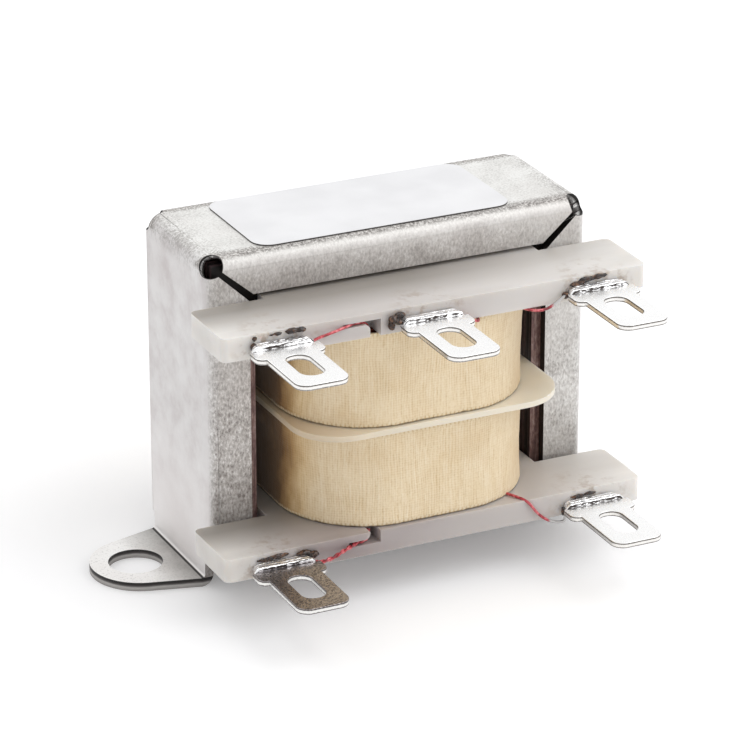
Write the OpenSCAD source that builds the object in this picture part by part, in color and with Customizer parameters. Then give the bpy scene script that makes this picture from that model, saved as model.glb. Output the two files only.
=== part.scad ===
// Laminated chassis transformer.
// An E and I lamination stack stands in a folded sheet-steel channel with two
// mounting ears. A two-chamber bobbin carries the primary winding below and the
// secondary winding above, and its two terminal boards hold five solder lugs.
// Origin: on the mounting plane, midway between the two ear holes.
// X runs along the ears, Y from the lugs (front, -Y) to the back, Z is up.

/* [Core] */
// Width of one lamination, across all three limbs
core_w = 34.3; // [30:0.1:44]
// Height of the closed stack, from yoke to yoke
core_h = 28.2; // [25:0.1:36]
// Width of an outer limb and of each yoke
limb_w = 3.9; // [3.3:0.1:4.8]
// Width of the centre limb, which carries the bobbin
tongue_w = 7.8; // [6.5:0.1:9]
// Thickness of one lamination
lam_t = 0.5; // [0.35:0.05:0.65]
// Number of laminations in the stack
lam_count = 24; // [16:2:30]
// Butt gap between an E and the I that closes it
butt_gap = 0.05; // [0.02:0.01:0.12]
// Height of the core's underside above the mounting plane
core_lift = 1.4; // [1.2:0.1:3]

/* [Channel frame] */
// Thickness of the frame's sheet steel
sheet_t = 0.8; // [0.5:0.05:1.2]
// Inner radius of every fold
fold_r = 0.3; // [0.15:0.05:0.5]
// Width of the lips folded in along the legs, front and back
lip_w = 3.95; // [2.8:0.05:4.6]
// Height at which the leg lips stop above the mounting plane
lip_end = 2.4; // [1.8:0.1:4]
// How far the foot strip is narrower than the leg, each side
foot_step = 1.3; // [1.15:0.05:2]
// Play between the stack and the legs, and under the top
stack_gap = 0.1; // [0.05:0.01:0.2]
// Play between the stack and the lips, front and back
lip_gap = 0.15; // [0.05:0.01:0.25]
// Width of the mitre slit between neighbouring lips
slit_w = 0.5; // [0.3:0.05:0.7]
// Diameter of the round relief punched at each corner
relief_d = 2.1; // [1.9:0.05:2.4]

/* [Mounting ears] */
// Distance from the leg's outer face to the ear hole's centre
ear_reach = 4.175; // [3.8:0.025:7]
// Diameter of the ear holes
hole_d = 4.8; // [3.2:0.1:5.4]
// Radius of the ear's round end
ear_end_r = 4.6; // [4:0.1:5]
// How far the round end's centre lies inboard of the hole's centre
ear_set = 0.6; // [0:0.05:0.8]

/* [Bobbin] */
// Wall of the tube round the centre limb
tube_wall = 0.8; // [0.5:0.05:1.1]
// Play between the tube and the centre limb, each side
tube_gap = 0.1; // [0.05:0.01:0.15]
// Thickness of the end flanges inside the core window
flange_t = 1.1; // [0.8:0.05:1.6]
// Play between the bobbin and the yokes and limbs
window_gap = 0.1; // [0.05:0.01:0.2]
// Space between the flange edges and the outer limbs
flange_clear = 0.25; // [0.1:0.05:0.6]
// Thickness of the terminal boards in front of the core
board_t = 2.1; // [1.9:0.05:2.6]
// How far the boards reach past the frame at each end
board_overhang = 1.8; // [0.5:0.1:3]
// Gap between the boards' back edge and the lips
board_gap = 0.5; // [0.3:0.05:1]
// How far the boards stand in front of the coils
board_margin = 0.3; // [0.1:0.05:1]
// Radius of the boards' corners
board_r = 0.6; // [0.3:0.05:1.5]
// Thickness of the divider between the two chambers
divider_t = 0.5; // [0.3:0.05:0.8]
// Space between the divider's left side and the left outer limb
divider_left_clear = 1.45; // [0.4:0.05:1.7]
// Space between the divider's right side and the right outer limb
divider_right_clear = 0.3; // [0.15:0.05:1.4]
// Corner radius of the divider and of the rear flanges
divider_r = 4.4; // [2:0.1:5.5]

/* [Wire slots] */
// Place of the wire grooves, left of the boards' middle
slot_x = 5.9; // [5.4:0.1:7]
// Width of the wire grooves
slot_w = 1; // [0.8:0.05:1.4]
// Depth of the wire grooves from the boards' front
slot_depth = 2; // [1.6:0.1:3]
// Thickness of the lower board under its groove
low_web = 1; // [0.8:0.05:1.3]
// Thickness of the upper board over its groove
high_web = 0.6; // [0.5:0.05:0.9]
// Length of the lower board's wire slit, from the groove
low_slit_len = 2; // [1.8:0.05:2.4]
// Length of the upper board's wire slit, from the groove
high_slit_len = 2.5; // [2.2:0.05:2.9]
// Depth of the wire slits from the boards' front
slit_depth = 0.8; // [0.7:0.05:1.1]
// Corner radius of the finger between a slit and the coil
finger_r = 0.5; // [0.3:0.05:0.6]

/* [Windings] */
// Height of the winding in front of and behind the tube, with its tape
front_build = 7.2; // [6:0.1:8]
// Space between the coils' sides and the outer limbs
coil_clear = 1.75; // [0.8:0.05:3]
// Corner radius of the taped coils
coil_r = 8.2; // [4:0.1:9]
// Thickness of the cloth tape over each winding
tape_t = 0.35; // [0.2:0.05:0.6]
// Play at a winding's ends and inside
coil_gap = 0.05; // [0.02:0.01:0.1]

/* [Solder lugs] */
// Width of a lug's blade
blade_w = 4.75; // [4:0.05:5.2]
// Length of a lug's blade, from shoulder to tip
blade_len = 6.4; // [5:0.1:8]
// Thickness of the lugs
lug_t = 0.5; // [0.4:0.05:0.7]
// Width of a lug's neck, where the wire is wound and soldered
neck_w = 5; // [4.4:0.1:5.4]
// Width of a lug's root between its neck and its blade
root_w = 6.3; // [5.6:0.1:6.8]
// Length of a lug's root in front of the board
root_len = 3; // [2.4:0.1:3.6]
// Radius of a lug's tip corners
tip_r = 1.1; // [0.4:0.1:1.8]
// Width of a lug's wire eye
eye_w = 2.2; // [1.6:0.05:2.8]
// Length of a lug's wire eye
eye_len = 4.6; // [3.4:0.1:5]
// Distance from a lug's shoulder to the near end of its eye
eye_start = 0; // [-0.4:0.1:0.8]
// Width of the tang pressed into the board
tang_w = 4.2; // [3:0.1:5]
// Length of the tang pressed into the board
tang_len = 3.5; // [2:0.1:4.5]
// Play of the tang in its pocket, each side
tang_gap = 0.05; // [0.02:0.01:0.08]
// Distance from the board's ends to the outer lugs' middle
lug_inset = 5.05; // [4:0.05:6]
// Place of the centre lug, left of the board's middle
centre_lug_x = 1; // [-0.5:0.1:1.4]
// How far the lugs' middle lies below the middle of the board's thickness
lug_drop = 0.25; // [0:0.05:0.4]
// Thickness of the solder bead across a lug's neck
bead_d = 1.1; // [0.95:0.05:1.4]
// How far the bead reaches past the neck's edges
bead_over = 0.4; // [0.2:0.05:0.6]

/* [Leads] */
// Diameter of a single enamelled lead
lead_d = 0.26; // [0.2:0.01:0.32]
// Diameter of the twisted double lead
twisted_lead_d = 0.36; // [0.28:0.01:0.42]
// Distance along the board from where the lower right lead starts to its bead
low_run = 3.9; // [3.5:0.1:4.3]
// Distance along the board from where the upper right lead starts to its bead
high_run = 3.4; // [3:0.1:3.8]

/* [Label] */
// Width of the blank label on the frame's top
label_w = 24.2; // [10:0.1:26]
// Depth of the label
label_d = 11.6; // [5:0.1:11.8]
// Thickness of the label
label_t = 0.12; // [0.06:0.02:0.2]
// Radius of the label's corners
label_r = 1.6; // [0.5:0.1:2.5]
// How far the label sits left of the frame's middle
label_shift = 0.65; // [-2:0.05:2]

/* [Hidden] */
$fn = 64;
// Small overlap that lets a cut pass clean through a face
cut = 1;

// Core
stack_d = lam_t * lam_count;
core_top = core_lift + core_h;
window_x = core_w / 2 - limb_w;
window_low = core_lift + limb_w;
window_high = core_top - limb_w;

// Frame
frame_w = core_w + 2 * (stack_gap + sheet_t);
frame_d = stack_d + 2 * (lip_gap + sheet_t);
frame_h = core_top + stack_gap + sheet_t;
bend_r = fold_r + sheet_t;
foot_half = frame_d / 2 - foot_step;
hole_x = frame_w / 2 + ear_reach;

// Bobbin
tube_in_w = tongue_w + 2 * tube_gap;
tube_in_d = stack_d + 2 * tube_gap;
tube_w = tube_in_w + 2 * tube_wall;
tube_d = tube_in_d + 2 * tube_wall;
flange_x = window_x - flange_clear;
chamber_low = window_low + window_gap + flange_t;
chamber_high = window_high - window_gap - flange_t;
divider_z = (chamber_low + chamber_high) / 2;
divider_low_x = -(window_x - divider_left_clear);
divider_high_x = window_x - divider_right_clear;

// Coils
coil_x = window_x - coil_clear;
coil_y = tube_d / 2 + front_build;

// Terminal boards
board_front = coil_y + board_margin;
board_back = frame_d / 2 + board_gap;
board_x = frame_w / 2 + board_overhang;
low_board_z = chamber_low - board_t;
high_board_z = chamber_high;
top_lip_z = high_board_z + board_t + window_gap;
groove_left = slot_x + slot_w / 2;
low_gap = twisted_lead_d + 2 * coil_gap;
high_gap = lead_d + 2 * coil_gap;

// Lugs, lowest face of the plate
lug_x = board_x - lug_inset;
low_lug_z = low_board_z + (board_t - lug_t) / 2 - lug_drop;
high_lug_z = high_board_z + (board_t - lug_t) / 2 - lug_drop;
shoulder_r = (root_w - blade_w) / 2;
bead_y = board_front + coil_gap + bead_d / 2;
bead_end = neck_w / 2 + bead_over;
neck_len = bead_d + 2 * coil_gap;

// ---------- shared outlines ----------

// Rectangle about the origin with round corners
module round_rect(w, h, r) {
    q = min(r, w / 2 - 0.05, h / 2 - 0.05);
    square([w - 2 * q, h], center = true);
    square([w, h - 2 * q], center = true);
    for (sx = [-1, 1], sy = [-1, 1])
        translate([sx * (w / 2 - q), sy * (h / 2 - q)])
            circle(r = q);
}

// Upright rectangle from low to high whose two top corners are round
module arch_rect(w, low, high, r) {
    translate([-w / 2, low])
        square([w, high - r - low]);
    translate([-w / 2 + r, low])
        square([w - 2 * r, high - low]);
    for (sx = [-1, 1])
        translate([sx * (w / 2 - r), high - r])
            circle(r = r);
}

// Box open to below, round along its top and upright edges
module folded_box(w, d, low, high, r) {
    intersection() {
        rotate([90, 0, 0])
            linear_extrude(d, center = true)
                arch_rect(w, low, high, r);
        rotate([90, 0, 90])
            linear_extrude(w, center = true)
                arch_rect(d, low, high, r);
        translate([0, 0, low])
            linear_extrude(high - low)
                round_rect(w, d, r);
    }
}

// ---------- channel frame ----------

// Top, legs and lips, folded from one blank
module channel_shell() {
    difference() {
        folded_box(frame_w, frame_d, lip_end, frame_h, bend_r);
        folded_box(
            frame_w - 2 * sheet_t,
            frame_d - 2 * sheet_t,
            lip_end - cut,
            frame_h - sheet_t,
            fold_r
        );
        // Opening between the lips, front and back
        translate([-(frame_w / 2 - lip_w), -frame_d, 0])
            cube([frame_w - 2 * lip_w, 2 * frame_d, top_lip_z]);
        mitre_slits();
        corner_reliefs();
    }
}

// Slit from each relief to the inner corner of the lips
module mitre_slits() {
    start = bend_r + 0.1;
    run_x = lip_w - start;
    run_z = frame_h - start - top_lip_z;
    angle = atan2(run_z, run_x);
    for (side = [-1, 1])
        translate([side * (frame_w / 2 - start), 0, frame_h - start])
            rotate([0, side > 0 ? -angle : angle - 180, 0])
                translate([-norm([run_x, run_z]) - slit_w, -frame_d, -slit_w / 2])
                    cube([norm([run_x, run_z]) + slit_w, 2 * frame_d, slit_w]);
}

// Round relief drilled along the diagonal where three folds meet
module corner_reliefs() {
    tilt = acos(1 / sqrt(3));
    for (sx = [-1, 1], sy = [-1, 1])
        translate([
            sx * (frame_w / 2 - sheet_t),
            sy * (frame_d / 2 - sheet_t),
            frame_h - sheet_t
        ])
            rotate([0, tilt, atan2(sy, sx)])
                cylinder(d = relief_d, h = 6 * sheet_t, center = true);
}

// Section of the foot: down the leg, round the fold and out along the ear
module foot_section(reach) {
    inner = frame_w / 2 - sheet_t;
    difference() {
        union() {
            translate([inner, 0])
                square([sheet_t, lip_end + cut]);
            translate([inner, 0])
                square([reach - inner, sheet_t]);
            translate([inner + sheet_t, sheet_t])
                square(fold_r);
        }
        translate([inner + bend_r, bend_r])
            circle(r = fold_r);
        difference() {
            translate([inner - cut, -cut])
                square(bend_r + cut);
            translate([inner + bend_r, bend_r])
                circle(r = bend_r);
        }
    }
}

// Plan of the foot: strip, taper and round end
module foot_plan(end_x) {
    root_x = frame_w / 2 + fold_r;
    span = [root_x - end_x, foot_half];
    normal = atan2(span.y, span.x) - acos(ear_end_r / norm(span));
    touch = [end_x + ear_end_r * cos(normal), ear_end_r * sin(normal)];
    translate([frame_w / 2 - sheet_t - cut, -foot_half])
        square([sheet_t + cut + fold_r, 2 * foot_half]);
    polygon([
        [root_x, -foot_half],
        [touch.x, -touch.y],
        touch,
        [root_x, foot_half]
    ]);
    translate([end_x, 0])
        circle(r = ear_end_r);
}

// Foot strip and ear of the right leg
module foot() {
    end_x = hole_x - ear_set;
    difference() {
        intersection() {
            rotate([90, 0, 0])
                linear_extrude(2 * foot_half, center = true)
                    foot_section(end_x + ear_end_r + cut);
            linear_extrude(lip_end + cut / 2)
                foot_plan(end_x);
        }
        translate([hole_x, 0, -cut])
            cylinder(d = hole_d, h = sheet_t + 2 * cut);
    }
}

module channel_frame() {
    color("gainsboro") {
        channel_shell();
        foot();
        mirror([1, 0, 0])
            foot();
    }
}

// ---------- laminations ----------

// E outline standing on its yoke
module e_outline() {
    e_h = core_h - limb_w - butt_gap;
    translate([-core_w / 2, 0])
        square([core_w, limb_w]);
    translate([-tongue_w / 2, 0])
        square([tongue_w, e_h]);
    for (side = [-1, 1])
        translate([side * (core_w / 2 - limb_w / 2) - limb_w / 2, 0])
            square([limb_w, e_h]);
}

module i_outline() {
    translate([-core_w / 2, 0])
        square([core_w, limb_w]);
}

// Every second lamination of the stack, starting at the given one
module every_second(first) {
    for (i = [first : 2 : lam_count - 1])
        translate([0, -stack_d / 2 + (i + 1) * lam_t, 0])
            rotate([90, 0, 0])
                linear_extrude(lam_t)
                    children();
}

module e_laminations_down() {
    color("#3a2c2c")
        translate([0, 0, core_top])
            mirror([0, 0, 1])
                every_second(0)
                    e_outline();
}

module e_laminations_up() {
    color("#443535")
        translate([0, 0, core_lift])
            every_second(1)
                e_outline();
}

module i_laminations_top() {
    color("#332727")
        translate([0, 0, core_top - limb_w])
            every_second(1)
                i_outline();
}

module i_laminations_bottom() {
    color("#4a3a38")
        translate([0, 0, core_lift])
            every_second(0)
                i_outline();
}

// ---------- bobbin ----------

// Flange in the window and behind the core, with its lower face at z
module flange(z) {
    front = board_back + board_r;
    translate([0, 0, z])
        linear_extrude(flange_t) {
            translate([-flange_x, -front])
                square([2 * flange_x, front + board_front - divider_r]);
            translate([0, board_front - divider_r])
                round_rect(2 * flange_x, 2 * divider_r, divider_r);
        }
}

// Thick board with its lower face at z, joined to the flange at the core
module terminal_board(z) {
    depth = board_front - board_back;
    face = stack_d / 2 + window_gap;
    translate([0, -board_back - depth / 2, z])
        linear_extrude(board_t)
            round_rect(2 * board_x, depth, board_r);
    translate([-flange_x, -board_back - board_r, z])
        cube([2 * flange_x, board_back + board_r - face, board_t]);
}

// Groove seen from the front; y runs from the coil's side into the board, x from
// the groove's left side, where the finger's corner towards the slit is round
module wire_groove(layer, gap) {
    translate([0, -cut])
        square([slot_w, layer + cut]);
    translate([-finger_r, layer - gap - finger_r])
        difference() {
            square([finger_r + slot_w / 2, finger_r]);
            circle(r = finger_r);
        }
}

// Groove in a board's layer next to the coil, and the slit that leads left from it
module wire_way(layer, slit_len, gap) {
    translate([-groove_left, -board_front, 0])
        rotate([90, 0, 0]) {
            translate([0, 0, -slot_depth])
                linear_extrude(slot_depth + cut)
                    wire_groove(layer, gap);
            translate([0, 0, -slit_depth])
                linear_extrude(slit_depth + cut)
                    translate([-slit_len, layer - gap])
                        square([slit_len + slot_w / 2, gap]);
        }
}

// Pocket that holds a lug's tang
module tang_pocket(x, z) {
    translate([x - tang_w / 2 - tang_gap, -board_front - cut, z - tang_gap])
        cube([tang_w + 2 * tang_gap, tang_len + tang_gap + cut, lug_t + 2 * tang_gap]);
}

module divider() {
    translate([(divider_low_x + divider_high_x) / 2, 0, divider_z - divider_t / 2])
        linear_extrude(divider_t)
            round_rect(divider_high_x - divider_low_x, 2 * board_front, divider_r);
}

module bobbin() {
    low = window_low + window_gap;
    high = window_high - window_gap;
    color("#d8d5cc")
        difference() {
            union() {
                translate([0, 0, low])
                    linear_extrude(high - low)
                        round_rect(tube_w, tube_d, tube_wall);
                flange(low);
                flange(chamber_high);
                terminal_board(low_board_z);
                terminal_board(high_board_z);
                divider();
            }
            translate([-tube_in_w / 2, -tube_in_d / 2, low - cut])
                cube([tube_in_w, tube_in_d, high - low + 2 * cut]);
            translate([0, 0, chamber_low])
                mirror([0, 0, 1])
                    wire_way(board_t - low_web, low_slit_len, low_gap);
            translate([0, 0, chamber_high])
                wire_way(board_t - high_web, high_slit_len, high_gap);
            for (side = [-1, 1]) {
                tang_pocket(side * lug_x, low_lug_z);
                tang_pocket(side * lug_x, high_lug_z);
            }
            tang_pocket(-centre_lug_x, high_lug_z);
        }
}

// ---------- windings and tape ----------

// Ring round the tube, as thick as the coil less the given inset
module coil_ring(low, high, inset) {
    translate([0, 0, low + coil_gap])
        linear_extrude(high - low - 2 * coil_gap)
            difference() {
                round_rect(2 * (coil_x - inset), 2 * (coil_y - inset), coil_r - inset);
                round_rect(tube_w + 2 * coil_gap, tube_d + 2 * coil_gap, tube_wall);
            }
}

// Closed band of tape round a winding
module tape_band(low, high) {
    translate([0, 0, low + coil_gap])
        linear_extrude(high - low - 2 * coil_gap)
            difference() {
                round_rect(2 * coil_x, 2 * coil_y, coil_r);
                round_rect(2 * (coil_x - tape_t), 2 * (coil_y - tape_t), coil_r - tape_t);
            }
}

module primary_winding() {
    color("#a33a2c")
        coil_ring(chamber_low, divider_z - divider_t / 2, tape_t);
}

module secondary_winding() {
    color("#a33a2c")
        coil_ring(divider_z + divider_t / 2, chamber_high, tape_t);
}

module primary_tape() {
    color("#e0cba5")
        tape_band(chamber_low, divider_z - divider_t / 2);
}

module secondary_tape() {
    color("#e0cba5")
        tape_band(divider_z + divider_t / 2, chamber_high);
}

// ---------- lugs and solder ----------

// Lug outline with its root at the board's face, pointing to -Y
module lug_outline() {
    tip = root_len + blade_len;
    translate([-tang_w / 2, 0])
        square([tang_w, tang_len]);
    translate([-neck_w / 2, -neck_len - cut])
        square([neck_w, neck_len + cut]);
    translate([-root_w / 2, -root_len + shoulder_r])
        square([root_w, root_len - shoulder_r - neck_len]);
    translate([0, -root_len + shoulder_r])
        round_rect(root_w, 2 * shoulder_r, shoulder_r);
    translate([0, -tip / 2])
        round_rect(blade_w, tip, tip_r);
}

// Round-ended eye in a lug's blade
module lug_eye() {
    translate([0, -root_len - eye_start - eye_len / 2])
        round_rect(eye_w, eye_len, eye_w / 2);
}

module lug(x, z) {
    color("silver")
        translate([x, -board_front, z])
            linear_extrude(lug_t)
                difference() {
                    lug_outline();
                    lug_eye();
                }
}

// Bead of solder across a lug's neck, close to the board
module solder_bead(x, z) {
    straight = 2 * bead_end - bead_d;
    color("#c9ccce")
        translate([x, -bead_y, z + lug_t / 2])
            difference() {
                union() {
                    rotate([0, 90, 0])
                        cylinder(d = bead_d, h = straight, center = true);
                    for (side = [-1, 1])
                        translate([side * straight / 2, 0, 0])
                            sphere(d = bead_d);
                }
                cube([neck_w, 2 * bead_d, lug_t], center = true);
            }
}

module primary_lug_left() {
    lug(-lug_x, low_lug_z);
}

module primary_lug_right() {
    lug(lug_x, low_lug_z);
}

module secondary_lug_left() {
    lug(-lug_x, high_lug_z);
}

module secondary_lug_centre() {
    lug(-centre_lug_x, high_lug_z);
}

module secondary_lug_right() {
    lug(lug_x, high_lug_z);
}

module primary_solder_left() {
    solder_bead(-lug_x, low_lug_z);
}

module primary_solder_right() {
    solder_bead(lug_x, low_lug_z);
}

module secondary_solder_left() {
    solder_bead(-lug_x, high_lug_z);
}

module secondary_solder_centre() {
    solder_bead(-centre_lug_x, high_lug_z);
}

module secondary_solder_right() {
    solder_bead(lug_x, high_lug_z);
}

// ---------- leads ----------

function unit(v) = v / norm(v);

// Point on a smooth curve between b and c, with a and d beyond them
function blend_point(a, b, c, d, t) =
    0.5 * (2 * b
        + (c - a) * t
        + (2 * a - 5 * b + 4 * c - d) * t * t
        + (3 * b - a - 3 * c + d) * t * t * t);

// Smooth route through the given points, with three steps to each stretch
function smooth(p) = let (last = len(p) - 1) [
    for (i = [0 : last - 1], t = [0 : 1 / 3 : 0.9])
        blend_point(p[max(i - 1, 0)], p[i], p[i + 1], p[min(i + 2, last)], t),
    p[last]
];

// Direction of a route at its point i
function along(route, i) = unit(route[min(i + 1, len(route) - 1)] - route[max(i - 1, 0)]);

// One sideways direction for each point from i on, carried along without twisting
function carry(route, i, side) = i == len(route)
    ? []
    : let (
        t = along(route, i),
        next = unit(side - (side * t) * t)
    )
    concat([next], carry(route, i + 1, next));

// Wire of eight sides swept along a route
module wire(points, d) {
    route = smooth(points);
    count = len(route);
    sides = 8;
    across = carry(route, 0, [1, 0, 0]);
    rings = [
        for (i = [0 : count - 1])
            let (up = cross(across[i], along(route, i)))
            for (k = [0 : sides - 1])
                route[i] + d / 2 * (cos(360 * k / sides) * across[i] + sin(360 * k / sides) * up)
    ];
    walls = [
        for (i = [0 : count - 2], k = [0 : sides - 1])
            let (
                a = i * sides + k,
                b = i * sides + (k + 1) % sides
            )
            [a, b, b + sides, a + sides]
    ];
    start_cap = [for (k = [0 : sides - 1]) sides - 1 - k];
    end_cap = [for (k = [0 : sides - 1]) (count - 1) * sides + k];
    color("#b5303a")
        polyhedron(points = rings, faces = concat([start_cap], walls, [end_cap]), convexity = 4);
}

// Front of the coil at a distance x from its middle
function coil_front(x) =
    let (over = max(abs(x) - (coil_x - coil_r), 0))
    coil_y - coil_r + sqrt(coil_r * coil_r - over * over);

// Where a lead meets the bead: side is -1 at its left end, 1 at its right
function bead_touch(x, z, side, d) =
    [x + side * (bead_end + coil_gap + d / 2), -bead_y, z + lug_t / 2];

// From a coil's edge at z0, through the groove and the slit at z1 to a left lug
function slot_route(z0, z1, slit_len, d, end) =
    let (
        slit_y = -board_front + slit_depth / 2,
        exit_x = -groove_left - slit_len + 1.4 * d
    )
    [
        [-slot_x, -board_front + slot_depth - d, z0],
        [-slot_x, slit_y + 0.4, (z0 + z1) / 2],
        [-groove_left + 0.2, slit_y, z1],
        [exit_x + 0.7, slit_y, z1],
        [exit_x, -board_front - d / 4, z1],
        [exit_x - 0.8, -board_front - d, z1 + (end.z - z1) / 4],
        end
    ];

// From under the lower coil to the left lug
module primary_lead_left() {
    d = twisted_lead_d;
    slit_z = low_board_z + low_web + low_gap / 2;
    end = bead_touch(-lug_x, low_lug_z, 1, d);
    wire(slot_route(chamber_low - d / 2, slit_z, low_slit_len, d, end), d);
}

// From the lower coil, over the board's edge and down to the right lug
module primary_lead_right() {
    d = lead_d;
    end = bead_touch(lug_x, low_lug_z, -1, d);
    start_x = end.x - low_run;
    wire([
        [start_x, -coil_front(start_x) - d, chamber_low + d],
        [start_x + 0.12 * low_run, -board_front - d / 4, chamber_low + 0.7 * d],
        [start_x + 0.28 * low_run, -board_front - d, chamber_low - 0.3 * board_t],
        [start_x + 0.54 * low_run, -board_front - d, low_board_z + d],
        [start_x + 0.82 * low_run, -bead_y, low_board_z],
        end
    ], d);
}

// From above the upper coil to the left lug
module secondary_lead_left() {
    d = lead_d;
    slit_z = high_board_z + board_t - high_web - high_gap / 2;
    end = bead_touch(-lug_x, high_lug_z, 1, d);
    wire(slot_route(chamber_high + d / 2, slit_z, high_slit_len, d, end), d);
}

// From the upper coil, under the board's edge and up to the centre lug
module secondary_lead_centre() {
    d = lead_d;
    end = bead_touch(-centre_lug_x, high_lug_z, 1, d);
    start_x = end.x + 1;
    wire([
        [start_x, -coil_front(start_x) - d, chamber_high - d],
        [start_x, -board_front - d, chamber_high - d / 4],
        [start_x - 0.4, -bead_y, chamber_high + 0.4],
        end
    ], d);
}

// From the upper coil, under the board's edge and up to the right lug
module secondary_lead_right() {
    d = lead_d;
    end = bead_touch(lug_x, high_lug_z, -1, d);
    start_x = end.x - high_run;
    wire([
        [start_x, -coil_front(start_x) - d, chamber_high - d],
        [start_x + 0.12 * high_run, -board_front - d, chamber_high - d],
        [start_x + 0.47 * high_run, -board_front - d, chamber_high - d / 2],
        [start_x + 0.73 * high_run, -board_front - d, chamber_high + d],
        end
    ], d);
}

// ---------- label ----------

module label() {
    color("white")
        translate([-label_shift, 0, frame_h])
            linear_extrude(label_t)
                round_rect(label_w, label_d, label_r);
}

channel_frame();
e_laminations_down();
e_laminations_up();
i_laminations_top();
i_laminations_bottom();
bobbin();
primary_winding();
secondary_winding();
primary_tape();
secondary_tape();
primary_lug_left();
primary_lug_right();
secondary_lug_left();
secondary_lug_centre();
secondary_lug_right();
primary_solder_left();
primary_solder_right();
secondary_solder_left();
secondary_solder_centre();
secondary_solder_right();
primary_lead_left();
primary_lead_right();
secondary_lead_left();
secondary_lead_centre();
secondary_lead_right();
label();
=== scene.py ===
import math
from functools import partial

import bpy
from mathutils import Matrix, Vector, noise


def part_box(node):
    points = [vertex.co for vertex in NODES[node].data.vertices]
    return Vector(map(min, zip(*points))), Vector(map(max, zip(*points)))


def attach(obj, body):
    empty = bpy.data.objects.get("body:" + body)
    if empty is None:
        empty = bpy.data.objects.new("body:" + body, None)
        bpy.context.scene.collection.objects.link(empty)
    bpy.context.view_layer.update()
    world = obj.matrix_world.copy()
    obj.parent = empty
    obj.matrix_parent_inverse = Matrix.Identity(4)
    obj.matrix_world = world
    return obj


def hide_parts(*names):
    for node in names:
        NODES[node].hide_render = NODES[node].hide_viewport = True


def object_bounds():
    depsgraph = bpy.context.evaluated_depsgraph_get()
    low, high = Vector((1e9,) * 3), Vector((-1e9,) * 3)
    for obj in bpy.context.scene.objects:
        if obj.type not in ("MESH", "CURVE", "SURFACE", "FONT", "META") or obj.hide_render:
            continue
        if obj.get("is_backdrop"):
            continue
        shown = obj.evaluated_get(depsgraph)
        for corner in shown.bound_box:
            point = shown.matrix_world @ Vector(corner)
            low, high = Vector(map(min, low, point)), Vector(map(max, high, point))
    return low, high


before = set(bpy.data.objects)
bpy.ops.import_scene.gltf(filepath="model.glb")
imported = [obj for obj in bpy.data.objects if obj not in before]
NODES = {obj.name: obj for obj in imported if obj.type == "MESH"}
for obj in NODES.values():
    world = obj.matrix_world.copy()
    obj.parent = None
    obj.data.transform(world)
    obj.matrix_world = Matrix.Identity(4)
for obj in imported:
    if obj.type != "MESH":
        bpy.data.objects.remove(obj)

cad_low, cad_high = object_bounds()

MM = 0.001
BODY = "root"


# ---------- camera ----------

# Straight ahead is +Y; the camera turns to its right by yaw and looks down by pitch.
CAMERA_PLACE = Vector((-143.3, -302.2, 156.41)) * MM
CAMERA_YAW = 25.51
CAMERA_PITCH = 23.01
CAMERA_LENS = 198.1
CAMERA_SENSOR = 36

bpy.ops.object.camera_add(location=CAMERA_PLACE)
camera = bpy.context.object
camera.name = "camera"
camera.rotation_euler = (math.radians(90 - CAMERA_PITCH), 0, math.radians(-CAMERA_YAW))
camera.data.lens = CAMERA_LENS
camera.data.sensor_width = CAMERA_SENSOR
camera.data.clip_start = 10 * MM
bpy.context.scene.camera = camera


# ---------- tools for materials ----------

def linear(code):
    """The linear RGBA of an sRGB hex colour such as "e0cba5"."""
    channels = [int(code[i:i + 2], 16) / 255 for i in (0, 2, 4)]
    return [c / 12.92 if c <= 0.04045 else ((c + 0.055) / 1.055) ** 2.4 for c in channels] + [1]


def add(tree, kind, inputs=(), output=0, stops=(), **settings):
    """Adds a node and returns one of its outputs.

    Inputs go in order, or by a socket's name or number, and are numbers, hex colours or other
    nodes' outputs. Stops are the (position, hex colour) pairs of a colour ramp.
    """
    made = tree.nodes.new("ShaderNode" + kind)
    for name, value in settings.items():
        setattr(made, name, value)
    for key, value in inputs.items() if isinstance(inputs, dict) else enumerate(inputs):
        if isinstance(value, bpy.types.NodeSocket):
            tree.links.new(value, made.inputs[key])
        else:
            made.inputs[key].default_value = linear(value) if isinstance(value, str) else value
    for number, (place, code) in enumerate(stops):
        band = made.color_ramp.elements
        if number >= len(band):
            band.new(place)
        band[number].position = place
        band[number].color = linear(code)
    return made.outputs[output] if made.outputs else made


def new_material(name):
    """An empty material, and add() bound to its tree."""
    material = bpy.data.materials.new(name)
    material.use_nodes = True
    material.node_tree.nodes.clear()
    return material, partial(add, material.node_tree)


def finish_material(material, node, **sockets):
    """Wires up the shader, its socket names written with _ for spaces; returns the material."""
    named = {name.replace("_", " "): value for name, value in sockets.items()}
    node("OutputMaterial", {"Surface": node("BsdfPrincipled", named)})
    return material


def millimetres(node):
    """Object coordinates in millimetres, and their X, Y and Z."""
    metres = node("TexCoord", output="Object")
    place = node("VectorMath", {0: metres, 3: 1 / MM}, operation="SCALE")
    return place, node("SeparateXYZ", [place]).node.outputs


def sides(node):
    """How much a face looks along X, Y and Z, from 0 to 1 whichever way it looks."""
    plain = node("VectorMath", [node("NewGeometry", output="Normal")], operation="ABSOLUTE")
    return node("SeparateXYZ", [plain]).node.outputs


# ---------- sizes taken from the solids, in millimetres ----------

def corners(node):
    """A node's lowest and highest corners."""
    low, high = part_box(node)
    return low / MM, high / MM


# The channel's sheet, its distance from the stack at the legs and at the lips, and the width of
# the legs' lips; the radius of the round corner reliefs
SHEET = 0.8
LEG_PLAY = 0.1
LIP_PLAY = 0.15
LEG_LIP = 3.95
RELIEF = 1.05

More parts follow.
